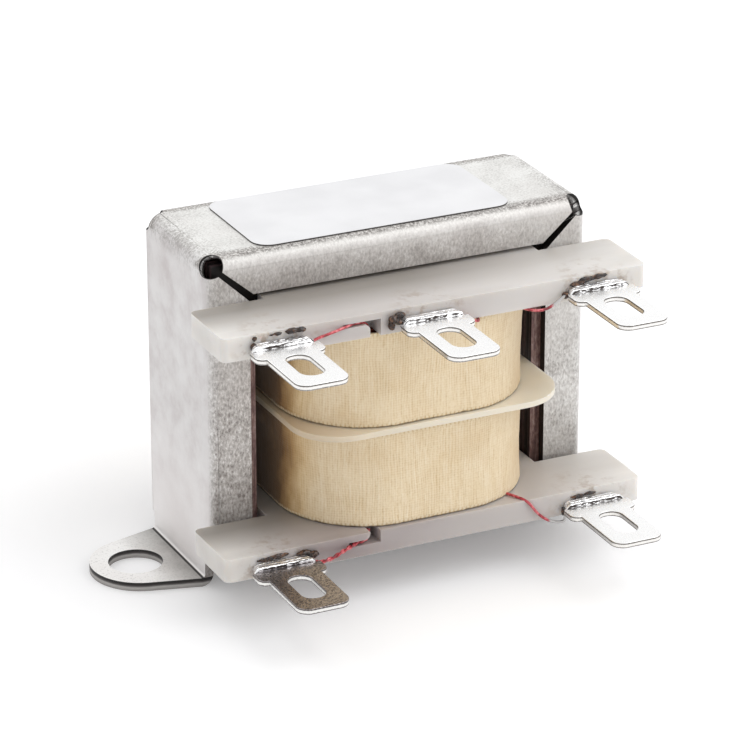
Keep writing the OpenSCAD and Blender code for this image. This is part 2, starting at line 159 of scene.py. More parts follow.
down_low, down_high = corners("e_laminations_down")
up_low, up_high = corners("e_laminations_up")
LAMINATIONS = 24
STACK_FRONT = min(down_low.y, up_low.y)
STACK_BACK = max(down_high.y, up_high.y)
LAMINATION = (STACK_BACK - STACK_FRONT) / LAMINATIONS
FRAME_SIDE = down_high.x + LEG_PLAY + SHEET
FRAME_FRONT = STACK_BACK + LIP_PLAY + SHEET
FRAME_TOP = corners("channel_frame")[1].z

LUGS = [name for name in NODES if "_lug_" in name]
LUG_FLOORS = corners("primary_lug_left")[0].z, corners("secondary_lug_left")[0].z
LUG_THICK = corners("primary_lug_left")[1].z - LUG_FLOORS[0]
SOLDER = [name for name in NODES if "_solder_" in name]
BOARD_FRONT = corners("bobbin")[0].y

# The opening between the lips: half its width, and the height from which the upper board covers it
OPEN_X = FRAME_SIDE - LEG_LIP
OPEN_TOP = LUG_FLOORS[1]

# Thread spacing of the tape; the real one is near 0.15, too fine to show
THREAD = 0.26
tape_low, tape_high = corners("primary_tape")
TAPE_WIDTH = tape_high.z - tape_low.z
DIVIDER = (tape_high.z + corners("secondary_tape")[0].z) / 2

# Turns of wire lie side by side under the solder
TURNS = 3
bead_low, bead_high = corners("primary_solder_left")
TURN_PITCH = (bead_high.y - bead_low.y) / TURNS
TURN_FRONT = bead_low.y + TURN_PITCH / 2


# ---------- materials; the sizes of patterns are in millimetres ----------

def galvanised_sheet():
    """Hot-dip galvanised sheet steel: pale zinc on the flat, scuffed grey and speckled where it was
    folded, and sheared steel along the cut edges, darkened as painted shade; painted shade and
    light on the lips and the ears, and painted light on the legs towards the foot."""
    material, node = new_material("galvanised_sheet_steel")
    place, at = millimetres(node)
    look = sides(node)
    across = node("Math", [at["X"]], operation="ABSOLUTE")
    along = node("Math", [at["Y"]], operation="ABSOLUTE")
    below_top = node("Math", [FRAME_TOP, at["Z"]], operation="SUBTRACT")

    # Speckle drawn a little along Z, as fine as it can be and still show; clouds and wide stains
    speckle_size, cloud_size, stain_size = 0.2, 2.6, 7
    drawn = node("Mapping", {0: place, 3: (1, 1, 0.55)})
    speckle = node("TexNoise", {
        "Vector": drawn, "Scale": 1 / speckle_size, "Detail": 3, "Roughness": 0.75})
    cloud = node("TexNoise", {
        "Vector": place, "Scale": 1 / cloud_size, "Detail": 4, "Roughness": 0.6})
    wide = node("TexNoise", {"Vector": place, "Scale": 1 / stain_size, "Detail": 2})
    frost = node("Math", [cloud, 0.3], operation="MULTIPLY")
    frost = node("Math", [speckle, 0.7, frost], operation="MULTIPLY_ADD")

    # Flat top and legs; painted light makes the legs paler towards the foot
    top = node("ValToRGB", [frost], stops=[(0.36, "c4c3c0"), (0.47, "dddcd9"), (0.6, "ebebe9")])
    leg = node("ValToRGB", [cloud], stops=[(0.35, "d1cccb"), (0.5, "dcd9d8"), (0.65, "e3e1e0")])
    foot = node("MapRange", [at["Z"], 14, 3, 0, 0.9])
    leg = node("Mix", {0: foot, 6: leg, 7: "f9f6f5"}, 2, data_type="RGBA")
    side = node("MapRange", [look["X"], 0.3, 0.9])
    colour = node("Mix", {0: side, 6: top, 7: leg}, 2, data_type="RGBA")

    # Folds: a line of dark speckle along the start of the bend
    fold = node("Math", [FRAME_FRONT - 0.8, along], operation="SUBTRACT")
    fold = node("Math", [fold, below_top], operation="SUBTRACT")
    fold = node("Math", [frost, 1.6, fold], operation="MULTIPLY_ADD")
    scuff = node("MapRange", [below_top, 0.9, 1.3, 1, 0])
    for limit in (node("MapRange", [fold, 2.0, 1.3]),
                  node("MapRange", [fold, -0.2, 0.5])):
        scuff = node("Math", [scuff, limit], operation="MULTIPLY")
    scuffed = node("ValToRGB", [speckle],
                   stops=[(0.38, "6f6b68"), (0.5, "aaa6a2"), (0.62, "dcdad7")])
    colour = node("Mix", {0: scuff, 6: colour, 7: scuffed}, 2, data_type="RGBA")

    # The corner between top and leg is rubbed grey in patches
    corner = node("Math", [node("MapRange", [across, FRAME_SIDE - 2.6, FRAME_SIDE - 0.9]),
                           node("MapRange", [below_top, 2.2, 0.9])], operation="MULTIPLY")
    patches = node("MapRange", [frost, 0.44, 0.52, 0.6, 0])
    rubbed = node("Math", [corner, patches], operation="MULTIPLY")
    colour = node("Mix", {0: rubbed, 6: colour, 7: "9b9793"}, 2, data_type="RGBA")

    # Lips, in painted shade and light: darker than the top, the left ones darker than the right
    # ones, paler on the bend and higher up as a painted highlight, greyer towards the foot
    lip = node("MapRange", [look["Y"], 0.45, 0.9])
    darker = node("ValToRGB", [frost],
                stops=[(0.38, "857e7b"), (0.46, "b3aeaa"), (0.54, "cecac7"), (0.62, "edebe9")])
    lit_from_right = node("ValToRGB", [frost],
                stops=[(0.38, "a19d99"), (0.46, "c6c3c0"), (0.54, "d5d3d0"), (0.62, "ebeae8")])
    right = node("MapRange", [at["X"], 10, 14])
    folded = node("Mix", {0: right, 6: darker, 7: lit_from_right}, 2, data_type="RGBA")
    for share, tint in ((node("MapRange", [below_top, 1.9, 1.1, 0, 0.4]), "e3e1de"),
                        (node("MapRange", [at["Z"], 15, 23, 0, 0.4]), "e0ddda"),
                        (node("MapRange", [at["Z"], 12, 3, 0, 0.6]), "736d69")):
        folded = node("Mix", {0: share, 6: folded, 7: tint}, 2, data_type="RGBA")
    colour = node("Mix", {0: lip, 6: colour, 7: folded}, 2, data_type="RGBA")

    # Ears: painted light and shade, bright at the tip and grey by the fold, with fine dark pits,
    # and a dark line of painted shade in the fold itself
    ear = node("Math", [node("MapRange", [across, FRAME_SIDE + 0.2, FRAME_SIDE + 0.4]),
                        node("MapRange", [look["Z"], 0.6, 0.9])], operation="MULTIPLY")
    out = node("Math", [across, FRAME_SIDE + 1.2], operation="SUBTRACT")
    wear_and_shade = node("MapRange", [node("Math", [cloud, 2.4, out], operation="MULTIPLY_ADD"), 0.4, 4.2])
    plate = node("ValToRGB", [wear_and_shade], stops=[(0.0, "a3a19e"), (0.45, "d3d1ce"), (1.0, "f9f8f6")])
    pits = node("MapRange", [speckle, 0.56, 0.62, 0, 0.3])
    plate = node("Mix", {0: pits, 6: plate, 7: "7f7c79"}, 2, data_type="RGBA")
    colour = node("Mix", {0: ear, 6: colour, 7: plate}, 2, data_type="RGBA")
    crease = node("Math", [at["Z"], across], operation="SUBTRACT")
    crease = node("Math", [crease, FRAME_SIDE - SHEET + 0.18], operation="ADD")
    crease = node("Math", [crease], operation="ABSOLUTE")
    crease = node("MapRange", [crease, 0.1, 0.18, 1, 0])
    for limit in (node("MapRange", [at["Z"], SHEET - 0.03, SHEET]),
                  node("MapRange", [at["Z"], SHEET + 0.5, SHEET + 0.4])):
        crease = node("Math", [crease, limit], operation="MULTIPLY")
    colour = node("Mix", {0: crease, 6: colour, 7: "2a2726"}, 2, data_type="RGBA")

    # Cut edges of the ears: painted shade, dark at the top third and paler grey below
    flat = node("MapRange", [look["Z"], 0.2, 0.4, 1, 0])
    ear_edge = node("Math", [flat, node("MapRange", [at["Z"], SHEET + 0.02, SHEET, 0, 1])],
                    operation="MULTIPLY")
    torn = node("Math", [cloud, 0.15, at["Z"]], operation="MULTIPLY_ADD")
    edge = node("ValToRGB", [node("MapRange", [torn, 0, SHEET])],
                stops=[(0.0, "8d8987"), (0.5, "b9b6b3"), (0.68, "575352"), (0.85, "242120")])
    colour = node("Mix", {0: ear_edge, 6: colour, 7: edge}, 2, data_type="RGBA")
    # Painted shade: the lips' inner cut edges near black
    lip_edge = node("MapRange", [along, FRAME_FRONT - SHEET - 0.1, FRAME_FRONT - SHEET])
    for limit in (node("MapRange", [look["Y"], 0.12, 0.2, 1, 0]),
                  node("MapRange", [across, FRAME_SIDE - 0.1, FRAME_SIDE - 0.2]),
                  node("MapRange", [below_top, 0.1, 0.2])):
        lip_edge = node("Math", [lip_edge, limit], operation="MULTIPLY")
    colour = node("Mix", {0: lip_edge, 6: colour, 7: "1d1a19"}, 2, data_type="RGBA")

    # Walls of the round corner reliefs: painted light and shade along the diagonal, a bright band
    # between dark ends
    diagonal = (0.5774, 0.5774, 0.5774)
    centre = node("CombineXYZ", [
        node("Math", [across, FRAME_SIDE - SHEET], operation="SUBTRACT"),
        node("Math", [along, FRAME_FRONT - SHEET], operation="SUBTRACT"),
        node("Math", [SHEET, below_top], operation="SUBTRACT"),
    ])
    around_it = node("VectorMath", [centre, diagonal], operation="CROSS_PRODUCT")
    off_axis = node("VectorMath", [around_it], "Value", operation="LENGTH")
    wall = node("MapRange", [off_axis, RELIEF + 0.06, RELIEF + 0.03])
    depth = node("VectorMath", [centre, diagonal], "Value", operation="DOT_PRODUCT")
    relief_wall_light = node("ValToRGB", [node("MapRange", [depth, -1.5, -0.1])],
                   stops=[(0.0, "3c3836"), (0.3, "b9b6b3"), (0.75, "f4f3f1"), (0.93, "3a3635")])
    colour = node("Mix", {0: wall, 6: colour, 7: relief_wall_light}, 2, data_type="RGBA")

    stain = node("MapRange", [wide, 0.45, 0.7, 0, 0.18])
    colour = node("Mix", {0: stain, 6: colour, 7: "cdc0bd"}, 2, data_type="RGBA",
                  blend_type="MULTIPLY")
    return finish_material(
        material, node, Base_Color=colour, Metallic=0.35,
        Roughness=node("MapRange", [frost, 0.35, 0.65, 0.42, 0.6]),
        Normal=node("Bump", {"Height": frost, "Distance": 0.02 * MM}))


def silicon_steel():
    """Varnished silicon-steel laminations: purple-brown oxide with drawn streaks on the sheet
    faces, one dark line a sheet on the sheared edges, and black shade where the frame covers."""
    material, node = new_material("silicon_steel_laminations")
    place, at = millimetres(node)
    look = sides(node)
    sheet = node("Math", [at["Y"], STACK_FRONT], operation="SUBTRACT")
    sheet = node("Math", [sheet, LAMINATION], operation="DIVIDE")
    number = node("Math", [sheet], operation="FLOOR")
    shade = node("TexWhiteNoise", {"W": number}, noise_dimensions="1D")
    seam = node("Math", [node("Math", [sheet], operation="FRACT"), 0.5], operation="SUBTRACT")
    seam = node("MapRange", [node("Math", [seam], operation="ABSOLUTE"), 0.36, 0.5])

    # Streaks 0.3 mm wide and 3 mm long, and spots
    spot_size = 0.25
    drawn = node("Mapping", {0: place, 3: (3.2, 3.2, 0.3)})
    streak = node("TexNoise", {"Vector": drawn, "Scale": 1, "Detail": 4, "Roughness": 0.75})
    drawn = node("Mapping", {0: place, 3: (1, 1, 0.4)})
    spot = node("TexNoise", {
        "Vector": drawn, "Scale": 1 / spot_size, "Detail": 3, "Roughness": 0.7})
    tone = node("Math", [spot, 0.4], operation="MULTIPLY")
    tone = node("Math", [streak, 0.6, tone], operation="MULTIPLY_ADD")
    face = node("ValToRGB", [tone],
                stops=[(0.35, "4a3431"), (0.48, "7a5e5a"), (0.58, "9d837d"), (0.68, "c4afa8")])
    wear_and_shade = node("Math", [shade, 0.3], operation="MULTIPLY")
    wear_and_shade = node("Math", [tone, 0.7, wear_and_shade], operation="MULTIPLY_ADD")
    # The sheared edges are darker than the faces, partly their own colour and partly painted shade
    edge = node("ValToRGB", [wear_and_shade],
                stops=[(0.3, "120d0d"), (0.48, "2e2122"), (0.62, "594446"), (0.75, "86706f")])
    edge = node("Mix", {0: seam, 6: edge, 7: "0c0808"}, 2, data_type="RGBA")
    across = node("Math", [at["X"]], operation="ABSOLUTE")
    covered = node("Math", [node("MapRange", [across, OPEN_X, OPEN_X + 0.2]),
                            node("MapRange", [at["Z"], OPEN_TOP, OPEN_TOP + 0.5])],
                   operation="MAXIMUM")
    face = node("Mix", {0: covered, 6: face, 7: "0e0a0a"}, 2, data_type="RGBA")
    facing = node("MapRange", [look["Y"], 0.4, 0.8])
    groove = node("Math", [1, facing], operation="SUBTRACT")
    groove = node("Math", [seam, groove], operation="MULTIPLY")
    ridge = node("Math", [tone, 0.4], operation="MULTIPLY")
    ridge = node("Math", [ridge, groove], operation="SUBTRACT")
    return finish_material(
        material, node, Metallic=0.3,
        Base_Color=node("Mix", {0: facing, 6: edge, 7: face}, 2, data_type="RGBA"),
        Roughness=node("MapRange", [streak, 0.35, 0.65, 0.32, 0.5]),
        Normal=node("Bump", {"Height": ridge, "Distance": 0.05 * MM}))


def natural_nylon():
    """Natural nylon 66, moulded: milky, waxy and slightly see-through, greyer in the thick middle
    of the boards, with painted shade over it, and browned by flux close to the lugs."""
    material, node = new_material("natural_nylon")
    place, at = millimetres(node)
    look = sides(node)
    flow_size, patch_size, tooth_size = 3.5, 1.3, 0.9
    flow = node("TexNoise", {
        "Vector": node("Mapping", {0: place, 3: (0.3, 1, 1)}), "Scale": 1 / flow_size, "Detail": 3})
    colour = node("ValToRGB", [flow], stops=[(0.35, "d9d5d0"), (0.65, "e6e3df")])

    # Greyer towards the middle of the boards and under the frame, where the core shows through,
    # and painted shade over it, heavier at the left and lower down
    across = node("Math", [at["X"]], operation="ABSOLUTE")
    thick = node("MapRange", [across, 19, 9])
    for share in (node("MapRange", [at["X"], -12, 8, 1.0, 0.42]),
                  node("MapRange", [at["Z"], 20, 8, 0.6, 1.2]),
                  node("MapRange", [flow, 0.3, 0.7, 0.7, 1.05])):
        thick = node("Math", [thick, share], operation="MULTIPLY")
    colour = node("Mix", {0: thick, 6: colour, 7: "9c9190"}, 2, data_type="RGBA")
    # Painted shade on the boards' tops, darker further in from the front, most at the left
    painted_shade_on_tops = node("MapRange", [at["Y"], BOARD_FRONT + 1.5, BOARD_FRONT + 5.5, 0, 0.9])
    for share in (node("MapRange", [at["X"], 0, 12, 1, 0.3]),
                  node("MapRange", [look["Z"], 0.5, 0.9])):
        painted_shade_on_tops = node("Math", [painted_shade_on_tops, share], operation="MULTIPLY")
    colour = node("Mix", {0: painted_shade_on_tops, 6: colour, 7: "958f88"}, 2, data_type="RGBA")

    # The thin divider, between two coils, takes their warm colour, with painted shade darker
    # towards the left
    thin = node("Math", [node("MapRange", [at["Z"], DIVIDER - 1.2, DIVIDER - 0.9]),
                         node("MapRange", [at["Z"], DIVIDER + 0.9, DIVIDER + 1.2, 1, 0])],
                operation="MULTIPLY")
    warm_tint_and_shade = node("ValToRGB", [node("MapRange", [at["X"], -12, 9])],
                  stops=[(0.0, "cdb99b"), (0.25, "ecdec6"), (1.0, "f4ead7")])
    thin = node("Math", [thin, 0.85], operation="MULTIPLY")
    colour = node("Mix", {0: thin, 6: colour, 7: warm_tint_and_shade}, 2, data_type="RGBA")

    # Browned in patches within a few millimetres of each joint
    near = 0.0
    squeezed = node("VectorMath", [place, (1, 0.8, 2.2)], operation="MULTIPLY")
    for low, high in map(corners, SOLDER):
        root = ((low.x + high.x) / 2, BOARD_FRONT * 0.8, (low.z + high.z) / 2 * 2.2)
        reach = node("VectorMath", [squeezed, root], "Value", operation="DISTANCE")
        near = node("Math", [near, node("MapRange", [reach, 2.6, 4.6, 1, 0])],
                    operation="MAXIMUM")
    patches = node("TexNoise", {
        "Vector": place, "Scale": 1 / patch_size, "Detail": 4, "Roughness": 0.65})
    burnt = node("Math", [near, node("MapRange", [patches, 0.5, 0.64, 0, 0.55])],
                 operation="MULTIPLY")
    colour = node("Mix", {0: burnt, 6: colour, 7: "8d6f4f"}, 2, data_type="RGBA")
    tooth = node("TexNoise", {"Vector": place, "Scale": 1 / tooth_size, "Detail": 3})
    return finish_material(
        material, node, Base_Color=colour, IOR=1.53,
        Subsurface_Weight=0.45, Subsurface_Radius=(1, 0.85, 0.65), Subsurface_Scale=1.2 * MM,
        Roughness=node("MapRange", [flow, 0.3, 0.7, 0.34, 0.46]),
        Normal=node("Bump", {"Height": tooth, "Distance": 0.015 * MM}))


def acetate_cloth():
    """Woven acetate cloth tape: fine cream threads, with painted shade that browns the left flank
    and warms the right one, and browned and frayed along both edges."""
    material, node = new_material("acetate_cloth_tape")
    place = millimetres(node)[0]
    signed = node("SeparateXYZ", [node("NewGeometry", output="Normal")]).node.outputs
    run = node("SeparateXYZ", [node("UVMap", uv_map="weave")]).node.outputs

    # Threads that drift a little, showing more in some places than in others
    drift_size, fuzz_size, cloud_size = 2.6, 0.22, 4
    drawn = node("Mapping", {0: place, 3: (1, 1, 0.35)})
    drift = node("TexNoise", {"Vector": drawn, "Scale": 1 / drift_size, "Detail": 3})
    warp = node("Math", [drift, 1.1, run["X"]], operation="MULTIPLY_ADD")
    warp = node("Math", [warp, math.pi / THREAD], operation="MULTIPLY")
    warp = node("Math", [node("Math", [warp], operation="SINE")], operation="ABSOLUTE")
    weft = node("Math", [drift, 0.5, run["Y"]], operation="MULTIPLY_ADD")
    weft = node("Math", [weft, math.pi / (0.85 * THREAD)], operation="MULTIPLY")
    weft = node("Math", [node("Math", [weft], operation="SINE")], operation="ABSOLUTE")
    drawn = node("Mapping", {0: place, 3: (3.4, 3.4, 0.35)})
    slub = node("TexNoise", {"Vector": drawn, "Scale": 1.15, "Detail": 4, "Roughness": 0.7})
    fuzz = node("TexNoise", {
        "Vector": place, "Scale": 1 / fuzz_size, "Detail": 2, "Roughness": 0.6})
    cloud = node("TexNoise", {
        "Vector": place, "Scale": 1 / cloud_size, "Detail": 3, "Roughness": 0.55})
    showing = node("MapRange", [cloud, 0.35, 0.6, 0.35, 1])
    woven = node("Math", [warp, 0.62, -0.6], operation="MULTIPLY_ADD")
    woven = node("Math", [weft, 0.38, woven], operation="MULTIPLY_ADD")
    woven = node("Math", [woven, showing, 0.5], operation="MULTIPLY_ADD")
    thread = node("Math", [slub, 0.42], operation="MULTIPLY")
    thread = node("Math", [woven, 0.22, thread], operation="MULTIPLY_ADD")
    thread = node("Math", [fuzz, 0.22, thread], operation="MULTIPLY_ADD")
    colour = node("ValToRGB", [thread],
                  stops=[(0.28, "d6bb91"), (0.4, "e9d4b0"), (0.5, "f1dfc0"), (0.62, "f8ead1")])
    tea = node("MapRange", [cloud, 0.45, 0.7, 0, 0.4])
    colour = node("Mix", {0: tea, 6: colour, 7: "dcc095"}, 2, data_type="RGBA")

    # Painted shade: the left flank darkened brown, and a trace of it on the right one
    left = node("Math", [signed["X"], -1.0], operation="MULTIPLY")
    left = node("Math", [cloud, 0.04, left], operation="MULTIPLY_ADD")
    painted_shade_left_flank = node("ValToRGB", [node("MapRange", [left, 0.8, 1.015])],
                  stops=[(0.0, "ffffff"), (0.6, "f4ead7"), (0.84, "cdb695"), (0.97, "a28766"),
                         (1.0, "836a4d")])
    colour = node("Mix", {0: 1.0, 6: colour, 7: painted_shade_left_flank}, 2, data_type="RGBA",
                  blend_type="MULTIPLY")
    painted_shade_right_flank = node("MapRange", [signed["X"], 0.55, 1.0, 0, 0.5])
    colour = node("Mix", {0: painted_shade_right_flank, 6: colour, 7: "c9a878"}, 2, data_type="RGBA")

    # A pale beaded selvedge beside a brown line at each edge of the tape
    wander_size, bead = 0.5, 0.4
    wander = node("TexNoise", {
        "Vector": place, "Scale": 1 / wander_size, "Detail": 4, "Roughness": 0.7})
    from_low = node("Math", [wander, 0.35, run["Y"]], operation="MULTIPLY_ADD")
    from_top = node("Math", [TAPE_WIDTH, run["Y"]], operation="SUBTRACT")
    from_top = node("Math", [wander, 0.35, from_top], operation="MULTIPLY_ADD")
    nearest = node("Math", [from_low, from_top], operation="MINIMUM")
    beads = node("Math", [run["X"], math.pi / bead], operation="MULTIPLY")
    beads = node("Math", [node("Math", [beads], operation="SINE")], operation="ABSOLUTE")
    cord = node("ValToRGB", [beads], stops=[(0.1, "c9ad7f"), (0.5, "e7d2a8"), (0.9, "f3e6c9")])
    selvedge = node("MapRange", [nearest, 0.55, 0.4, 0, 0.6])
    colour = node("Mix", {0: selvedge, 6: colour, 7: cord}, 2, data_type="RGBA")
    hem = node("MapRange", [nearest, 0.3, 0.2, 0, 0.75])
    colour = node("Mix", {0: hem, 6: colour, 7: "6b5130"}, 2, data_type="RGBA")
    return finish_material(
        material, node, Base_Color=colour, Roughness=0.85, Sheen_Weight=0.2, Sheen_Roughness=0.4,
        Normal=node("Bump", {"Height": thread, "Distance": 0.12 * MM}))


def tinned_brass(name, bright, darker, sheared, torn, cover):
    """Brass strip, hot tinned before stamping: near-white tin on the faces, with darker spots where
    the cover is low; cut edges rolled, painted bright over a dark line as painted highlight and
    painted reflection."""
    material, node = new_material(name)
    place, at = millimetres(node)
    look = sides(node)
    spot_size, wash_size = 0.2, 1.8
    spots = node("TexNoise", {
        "Vector": place, "Scale": 1 / spot_size, "Detail": 3, "Roughness": 0.65})
    wash = node("TexNoise", {"Vector": place, "Scale": 1 / wash_size, "Detail": 3})
    bare = node("MapRange", [spots, cover - 0.05, cover + 0.08])
    face = node("Mix", {0: bare, 6: bright, 7: darker}, 2, data_type="RGBA")
    washed = node("MapRange", [wash, 0.45, 0.75, 0, 0.25])
    face = node("Mix", {0: washed, 6: face, 7: darker}, 2, data_type="RGBA")

    # The cut edge's height counts from the underside of the lower or the upper lugs
    floor_z = node("MapRange", [at["Z"], LUG_FLOORS[0] + 5, LUG_FLOORS[0] + 6, *LUG_FLOORS])
    height = node("Math", [at["Z"], floor_z], operation="SUBTRACT")
    height = node("Math", [spots, 0.12, height], operation="MULTIPLY_ADD")
    # Painted highlight and reflection on the cut edges: bright in the middle, dark below and above
    cut = node("ValToRGB", [node("MapRange", [height, 0.06, LUG_THICK + 0.06])],
               stops=[(0.12, torn), (0.3, sheared), (0.62, sheared), (0.8, torn)])
    edge = node("MapRange", [look["Z"], 0.25, 0.6, 1, 0])
    return finish_material(
        material, node, Metallic=0.9,
        Base_Color=node("Mix", {0: edge, 6: face, 7: cut}, 2, data_type="RGBA"),
        Roughness=node("MapRange", [spots, 0.35, 0.65, 0.22, 0.36]),
        Normal=node("Bump", {"Height": spots, "Distance": 0.004 * MM}))


def tin_solder():
    """Tin solder over wire: bright ridges, with thin dark flux left in the hollows between."""
    material, node = new_material("tin_solder")
    place, at = millimetres(node)
    patch_size, ripple_size = 0.55, 0.35
    ridge = node("Math", [at["Y"], TURN_FRONT], operation="SUBTRACT")
    ridge = node("Math", [ridge, math.pi / TURN_PITCH], operation="MULTIPLY")
    ridge = node("Math", [node("Math", [ridge], operation="COSINE")], operation="ABSOLUTE")
    patch = node("TexNoise", {
        "Vector": place, "Scale": 1 / patch_size, "Detail": 4, "Roughness": 0.7})
    ragged = node("Math", [ridge, 0.6], operation="SUBTRACT")
    ragged = node("Math", [patch, 1.2, ragged], operation="MULTIPLY_ADD")
    flux = node("MapRange", [ragged, 0.16, 0.28, 1, 0])
    ripple = node("TexNoise", {"Vector": place, "Scale": 1 / ripple_size, "Detail": 3})
    return finish_material(
        material, node,
        Base_Color=node("Mix", {0: flux, 6: "f4f4f5", 7: "2a1c16"}, 2, data_type="RGBA"),
        Metallic=node("MapRange", [flux, 0, 1, 0.9, 0]),
        Roughness=node("MapRange", [flux, 0, 1, 0.24, 0.3]),
        Normal=node("Bump", {"Height": ripple, "Distance": 0.02 * MM}))


def rosin_flux():
    """Burnt rosin flux: glassy brown-black crust with a few amber glints."""
    material, node = new_material("burnt_rosin_flux")
    place = millimetres(node)[0]
    spot_size = 0.4
    spots = node("TexNoise", {
        "Vector": place, "Scale": 1 / spot_size, "Detail": 3, "Roughness": 0.6})
    amber = node("ValToRGB", [spots], stops=[(0.42, "1a100c"), (0.56, "3f281b"), (0.7, "7a563c")])
    return finish_material(
        material, node, Base_Color=amber, Roughness=0.24, IOR=1.52,
        Normal=node("Bump", {"Height": spots, "Distance": 0.06 * MM}))


def enamelled_wire(name, bare_left, bare_right):
    """Red enamelled copper wire, tinned bright where the enamel was burnt off, outside the two
    places along X."""
    material, node = new_material(name)
    place, at = millimetres(node)
    wear_size, blend = 0.5, 0.15
    wear_and_shade = node("TexNoise", {
        "Vector": place, "Scale": 1 / wear_size, "Detail": 3, "Roughness": 0.6})
    wander = node("Math", [at["X"], 0.4], operation="SUBTRACT")
    wander = node("Math", [wear_and_shade, 0.8, wander], operation="MULTIPLY_ADD")
    bare = node("Math", [
        node("MapRange", [wander, bare_left - blend, bare_left + blend, 1, 0]),
        node("MapRange", [wander, bare_right - blend, bare_right + blend]),
    ], operation="MAXIMUM")
    red = node("ValToRGB", [wear_and_shade], stops=[(0.35, "7a1a24"), (0.5, "b9343f"), (0.66, "e27f84")])
    return finish_material(
        material, node, Roughness=0.3, Coat_Weight=0.3,
        Base_Color=node("Mix", {0: bare, 6: red, 7: "b9b7b6"}, 2, data_type="RGBA"),
        Metallic=node("MapRange", [bare, 0, 1, 0.1, 1]),
        Normal=node("Bump", {"Height": wear_and_shade, "Distance": 0.01 * MM}))


def label_film():
    """White polyester label film, blank: smooth face with a faint tooth, and a dark grey edge,
    partly adhesive and partly painted shade.
    """
    material, node = new_material("white_label_film")
    place = millimetres(node)[0]
    signed = node("SeparateXYZ", [node("NewGeometry", output="Normal")]).node.outputs
    tooth_size, tone_size = 0.4, 5
    tooth = node("TexNoise", {
        "Vector": place, "Scale": 1 / tooth_size, "Detail": 3, "Roughness": 0.6})
    tone = node("TexNoise", {"Vector": place, "Scale": 1 / tone_size, "Detail": 2})
    face = node("ValToRGB", [tone], stops=[(0.35, "e0e0e2"), (0.65, "e8e8ea")])
    # The edge's dark grey is partly adhesive and partly painted shade
    edge = node("MapRange", [signed["Z"], 0.3, 0.8, 1, 0])
    return finish_material(
        material, node,
        Base_Color=node("Mix", {0: edge, 6: face, 7: "45413f"}, 2, data_type="RGBA"),
        Roughness=node("MapRange", [tooth, 0.3, 0.7, 0.4, 0.5]),
        Normal=node("Bump", {"Height": tooth, "Distance": 0.006 * MM}))


def winding_wire():
    """The ends of the enamelled copper windings: fine red-brown turns side by side, seen only in
    the wire grooves."""
    material, node = new_material("enamelled_copper_winding")
    place = millimetres(node)[0]
    turns = node("TexWave", {"Vector": place, "Scale": 1.3, "Distortion": 1.5, "Detail": 2},
                 "Fac", wave_type="RINGS", rings_direction="Z")
    red = node("ValToRGB", [turns], stops=[(0.1, "4a1c12"), (0.6, "9c4630"), (0.95, "c98058")])
    return finish_material(
        material, node, Base_Color=red, Metallic=0.3, Roughness=0.35,
        Normal=node("Bump", {"Height": turns, "Distance": 0.1 * MM}))


zinc = galvanised_sheet()
steel = silicon_steel()
nylon = natural_nylon()
cloth = acetate_cloth()
tin = tinned_brass("hot_tinned_brass", "fbfbfb", "efeeec", "f1efec", "5c5650", 0.7)
dull_tin = tinned_brass("flux_dulled_tinned_brass", "bdb8b9", "7d7879", "ecebe9", "4a4340", 0.5)
solder = tin_solder()
flux = rosin_flux()
film = label_film()
copper = winding_wire()


# ---------- shaping ----------

def clear():
    """Leaves edit mode and nothing selected."""
    active = bpy.context.view_layer.objects.active
    if active and active.mode != "OBJECT":
        bpy.ops.object.mode_set(mode="OBJECT")
    bpy.ops.object.select_all(action="DESELECT")


def take(piece):
    """Makes the piece the only selected one."""
    clear()
    piece.select_set(True)
    bpy.context.view_layer.objects.active = piece
    return piece


def settle(piece):
    """Puts the piece's place, turn and size into its mesh."""
    take(piece)
    bpy.ops.object.transform_apply(location=True, rotation=True, scale=True)
    return piece


def pick(piece, kind, test):
    """Selects, in edit mode, the elements whose corner points, in mm, pass the test."""
    take(piece)
    bpy.ops.object.mode_set(mode="EDIT")
    bpy.ops.mesh.select_mode(type=kind)
    bpy.ops.mesh.select_all(action="DESELECT")
    bpy.ops.object.mode_set(mode="OBJECT")
    mesh = piece.data
    spots = [v.co / MM for v in mesh.vertices]
    groups = {
        "VERT": [(v, (v.index,)) for v in mesh.vertices],
        "EDGE": [(e, e.vertices) for e in mesh.edges],
        "FACE": [(f, f.vertices) for f in mesh.polygons],
    }[kind]
    for element, members in groups:
        element.select = test([spots[i] for i in members])
    bpy.ops.object.mode_set(mode="EDIT")


def use(piece, kind, **settings):
    """Adds a modifier with its settings and applies it."""
    take(piece)
    made = piece.modifiers.new(kind.lower(), kind)
    for name, value in settings.items():
        setattr(made, name, value)
    bpy.ops.object.modifier_apply(modifier=made.name)
    return piece


def smooth(piece, degrees):
    """Shades a piece smooth, apart from edges sharper than the angle."""
    take(piece)
    bpy.ops.object.shade_smooth_by_angle(angle=math.radians(degrees), keep_sharp_edges=False)
    return piece


def even(piece, degrees):
    """Shades a piece so that its flat faces stay flat and only the eased edges turn the light."""
    smooth(piece, degrees)
    return use(piece, "WEIGHTED_NORMAL", mode="FACE_AREA", keep_sharp=True)


def join(pieces):
    """Joins pieces into the first one."""
    clear()
    for piece in pieces:
        piece.select_set(True)
    bpy.context.view_layer.objects.active = pieces[0]
    bpy.ops.object.join()
    return bpy.context.view_layer.objects.active


def dress(piece, material):
    """Gives a piece or a solid its only material."""
    piece.data.materials.clear()
    piece.data.materials.append(material)


def present(piece, name, material, slot, *nodes):
    """Names and dresses a finished piece, lets it ride, and hides the solids it stands for."""
    piece.name = name
    piece.data.name = name
    dress(piece, material)
    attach(piece, BODY)
    if nodes:
        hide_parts(*nodes)


